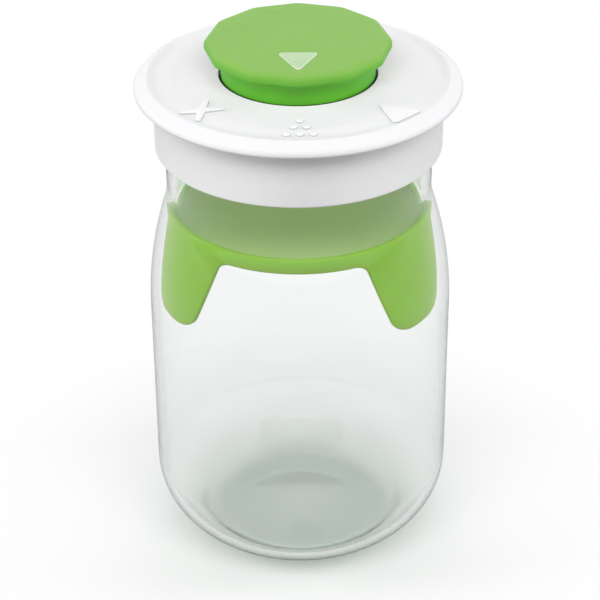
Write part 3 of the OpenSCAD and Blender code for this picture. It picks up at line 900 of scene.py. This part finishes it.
def make_cap_thread():
    """Thread ridge inside the skirt, clear of the glass thread at every turn of the lid."""
    rows = []
    root = SKIRT_IN_R + CAP_THREAD_ROOT
    for k in range(CAP_THREAD_STEPS + 1):
        turns = THREAD_TURNS*k/CAP_THREAD_STEPS
        fade = thread_fade(turns)
        a = 2*math.pi*turns
        z = CAP_THREAD_Z + THREAD_PITCH*turns
        crest = SKIRT_IN_R - CAP_THREAD_H*fade
        brow = crest + CAP_THREAD_CROWN*fade
        section = [(root, -THREAD_W/2), (brow, -THREAD_W/5), (crest, -THREAD_W/9),
                   (crest, THREAD_W/9), (brow, THREAD_W/5), (root, THREAD_W/2)]
        rows.append([(r*math.cos(a), r*math.sin(a), z + dz) for r, dz in section])
    build = bmesh.new()
    made = add_rows(build, rows)
    build.faces.new(made[0])
    build.faces.new(made[-1][::-1])
    dress(finish_mesh("cap_thread", build), "lid", "cap_white")


# Knob

def many_sided(r, angle, share):
    """Radius of the head at an angle, for a radius r at the flats and a share of the many-sided shape."""
    step = 2*math.pi/KNOB_SIDES
    u = angle % step - step/2
    p = CORNER_SHARPNESS
    sides = (math.cos(u)**p + math.cos(step - abs(u))**p)**(1/p)
    return r*(1 - share + share/sides)


def pointer_outline(grow):
    """Rounded triangle of the pointer, anticlockwise from its tip, grown by a length."""
    r = POINTER_ROUND
    half = POINTER_W/2 - r
    y = -POINTER_TIP_R + r
    back_y = y + POINTER_L - 2*r
    lean = math.degrees(math.atan2(back_y - y, half))
    sweep = lean - TIP_CLEARANCE
    tip = arc((0, y), r + grow, r + grow, 270 - sweep, 270 + sweep, n=10)
    right = arc((half, back_y), r + grow, r + grow, lean - 90, 90, n=12)
    left = arc((-half, back_y), r + grow, r + grow, 90, 270 - lean, n=12)
    return tip + right + left


def make_knob():
    """Hollow stem that flares into the many-sided head, with the pointer's pocket in its flat top."""
    n = KNOB_SIDES*SIDE_STEPS
    corner_ratio = (2*math.cos(math.pi/KNOB_SIDES)**CORNER_SHARPNESS)**(1/CORNER_SHARPNESS)
    flat_r = KNOB_D/2*corner_ratio
    lip_z = KNOB_TOP_Z - HEAD_T
    lip_c = (flat_r - LIP_ROUND, lip_z + LIP_ROUND)
    head_c = (flat_r - HEAD_ROUND, KNOB_TOP_Z - HEAD_ROUND)
    guide_z = STEM_LOW_Z + GUIDE_H

    # Levels of the outside as (radius at the flats, height, share of the many-sided shape)
    levels = [(GUIDE_R, STEM_LOW_Z, 0), (GUIDE_R, guide_z, 0), (STEM_R, guide_z, 0)]
    levels.append((STEM_R, lip_z - FLARE_H - STEM_TOP_DROP, 0))
    for a in np.radians(np.linspace(0, 90, FLARE_ROWS)):
        out = 1 - math.cos(a)
        flare_r = STEM_R + (lip_c[0] - STEM_R)*out
        levels.append((flare_r, lip_z - FLARE_H*(1 - math.sin(a)), out*out))
    levels += [(r, z, 1) for r, z in arc(lip_c, LIP_ROUND, LIP_ROUND, LIP_START, 0, n=6)]
    levels += [(r, z, 1) for r, z in arc(head_c, HEAD_ROUND, HEAD_ROUND, 0, 90, n=14)]

    def level_row(r, z, share):
        row = []
        for i in range(n):
            a = 2*math.pi*i/n
            radius = many_sided(r, a, share)
            row.append((radius*math.cos(a), radius*math.sin(a), z))
        return row

    build = bmesh.new()
    inside = [[(0, 0, HOLLOW_Z)], level_row(STEM_IN_R, HOLLOW_Z, 0), level_row(STEM_IN_R, STEM_LOW_Z, 0)]
    made = add_rows(build, inside + [level_row(*level) for level in levels])

    # Flat top with the pocket of the pointer cut in it
    hole = pointer_outline(POINTER_GAP)
    mouth = pointer_outline(POINTER_GAP + POCKET_BEVEL)
    pocket = add_rows(build, [
        [(x, y, KNOB_TOP_Z - POINTER_T) for x, y in hole],
        [(x, y, KNOB_TOP_Z - POCKET_BEVEL) for x, y in hole],
        [(x, y, KNOB_TOP_Z) for x, y in mouth]])
    build.faces.new(pocket[0])
    borders = []
    for loop in (made[-1], pocket[-1]):
        for v, w in zip(loop, loop[1:] + loop[:1]):
            borders.append(build.edges.get((v, w)) or build.edges.new((v, w)))
    bmesh.ops.triangle_fill(build, use_beauty=True, use_dissolve=False, edges=borders)
    dress(finish_mesh("knob_body", build, KNOB_SHARP), "knob", "green_plastic", "knob_cap")


def make_pointer():
    """Pale inlay that stands a little proud of the knob's top."""
    build = bmesh.new()
    low_z = KNOB_TOP_Z - POINTER_T
    add_plateau(build, pointer_outline(0), low_z, KNOB_TOP_Z + POINTER_PROUD, POINTER_EDGE)
    dress(finish_mesh("pointer_inlay", build), "knob", "pale_plastic", "pointer")


make_glass()
make_press()
make_saucer()
make_marks()
make_cap_thread()
make_knob()
make_pointer()


# Floor, world, lamps and camera

def seen_ray(nodes, links, gloss):
    """1 for rays that show the background, from the camera and through glass, and gloss for glossy rays."""
    path = nodes.new("ShaderNodeLightPath")
    total = path.outputs["Is Camera Ray"]
    for name, share in (("Is Transmission Ray", 1.0), ("Is Glossy Ray", gloss)):
        part = nodes.new("ShaderNodeMath")
        part.operation = "MULTIPLY"
        part.inputs[1].default_value = share
        links.new(path.outputs[name], part.inputs[0])
        larger = nodes.new("ShaderNodeMath")
        larger.operation = "MAXIMUM"
        links.new(total, larger.inputs[0])
        links.new(part.outputs["Value"], larger.inputs[1])
        total = larger.outputs["Value"]
    return total


def make_floor():
    """White floor that fades to the white of the background away from the jar."""
    build = bmesh.new()
    bmesh.ops.create_grid(build, x_segments=1, y_segments=1, size=FLOOR_SIZE)
    bmesh.ops.translate(build, vec=(0, 0, -FLOOR_DROP), verts=build.verts)
    mesh = bpy.data.meshes.new("floor")
    build.to_mesh(mesh)
    build.free()
    floor = bpy.data.objects.new("floor", mesh)
    bpy.context.scene.collection.objects.link(floor)
    material = bpy.data.materials.new("white_floor")
    material.use_nodes = True
    nodes = material.node_tree.nodes
    links = material.node_tree.links
    nodes.clear()

    # What is seen near the jar, with its shadow, and what throws light back on the jar
    paint = nodes.new("ShaderNodeBsdfDiffuse")
    paint.inputs["Color"].default_value = (FLOOR_PAINT, FLOOR_PAINT, FLOOR_PAINT, 1)
    bounce = nodes.new("ShaderNodeBsdfDiffuse")
    bounce.inputs["Color"].default_value = (FLOOR_BOUNCE, FLOOR_BOUNCE, FLOOR_BOUNCE, 1)
    glow = nodes.new("ShaderNodeEmission")
    glow.inputs["Strength"].default_value = FLOOR_GLOW
    both = nodes.new("ShaderNodeAddShader")
    links.new(paint.outputs["BSDF"], both.inputs[0])
    links.new(glow.outputs["Emission"], both.inputs[1])

    # Fade to plain white with the distance from the middle of the shadow
    white = nodes.new("ShaderNodeEmission")
    here = nodes.new("ShaderNodeNewGeometry")
    far = nodes.new("ShaderNodeVectorMath")
    far.operation = "DISTANCE"
    far.inputs[1].default_value = SHADOW_CENTRE
    links.new(here.outputs["Position"], far.inputs[0])
    fade = nodes.new("ShaderNodeMapRange")
    fade.inputs["From Min"].default_value = SHADOW_FULL_R
    fade.inputs["From Max"].default_value = SHADOW_END_R
    links.new(far.outputs["Value"], fade.inputs["Value"])
    ground = nodes.new("ShaderNodeMixShader")
    links.new(fade.outputs["Result"], ground.inputs["Fac"])
    links.new(both.outputs["Shader"], ground.inputs[1])
    links.new(white.outputs["Emission"], ground.inputs[2])

    pick = nodes.new("ShaderNodeMixShader")
    links.new(seen_ray(nodes, links, FLOOR_GLOSS), pick.inputs["Fac"])
    links.new(bounce.outputs["BSDF"], pick.inputs[1])
    links.new(ground.outputs["Shader"], pick.inputs[2])
    out = nodes.new("ShaderNodeOutputMaterial")
    links.new(pick.outputs["Shader"], out.inputs["Surface"])
    mesh.materials.append(material)


def make_world():
    """Even soft fill, and a white background where it is seen."""
    world = bpy.data.worlds.new("studio")
    bpy.context.scene.world = world
    world.use_nodes = True
    nodes = world.node_tree.nodes
    links = world.node_tree.links
    nodes.clear()
    fill = nodes.new("ShaderNodeBackground")
    fill.inputs["Color"].default_value = WHITE
    fill.inputs["Strength"].default_value = WORLD_FILL
    white = nodes.new("ShaderNodeBackground")
    white.inputs["Color"].default_value = WHITE
    white.inputs["Strength"].default_value = 1.0
    pick = nodes.new("ShaderNodeMixShader")
    links.new(seen_ray(nodes, links, 1.0), pick.inputs["Fac"])
    links.new(fill.outputs["Background"], pick.inputs[1])
    links.new(white.outputs["Background"], pick.inputs[2])
    out = nodes.new("ShaderNodeOutputWorld")
    links.new(pick.outputs["Shader"], out.inputs["Surface"])


def make_lamp(name, place_at, aim, width, height, power):
    """Soft rectangular lamp, which isn't mirrored in the jar."""
    lamp = bpy.data.lights.new(name, "AREA")
    lamp.shape = "RECTANGLE"
    lamp.size = width
    lamp.size_y = height
    lamp.energy = power
    piece = bpy.data.objects.new(name, lamp)
    piece.location = place_at
    piece.rotation_euler = (Vector(aim) - Vector(place_at)).to_track_quat("-Z", "Y").to_euler()
    piece.visible_glossy = False
    piece.visible_transmission = False
    bpy.context.scene.collection.objects.link(piece)


def make_camera():
    """Camera in front of the jar and above it, as in the photograph, with its slight roll."""
    aim = Vector(CAMERA_AIM)
    lift = math.radians(CAMERA_LIFT)
    camera = bpy.data.cameras.new("camera")
    camera.sensor_width = CAMERA_SENSOR
    camera.lens = CAMERA_LENS
    camera.clip_start = CAMERA_CLIP
    piece = bpy.data.objects.new("camera", camera)
    piece.location = aim + CAMERA_DISTANCE*Vector((0, -math.cos(lift), math.sin(lift)))
    roll = Quaternion((0, 0, 1), math.radians(CAMERA_ROLL))
    piece.rotation_euler = ((aim - piece.location).to_track_quat("-Z", "Y") @ roll).to_euler()
    bpy.context.scene.collection.objects.link(piece)
    bpy.context.scene.camera = piece


make_floor()
make_world()
for lamp_values in LAMPS:
    make_lamp(*lamp_values)
make_camera()
bpy.context.scene.view_settings.view_transform = "Standard"
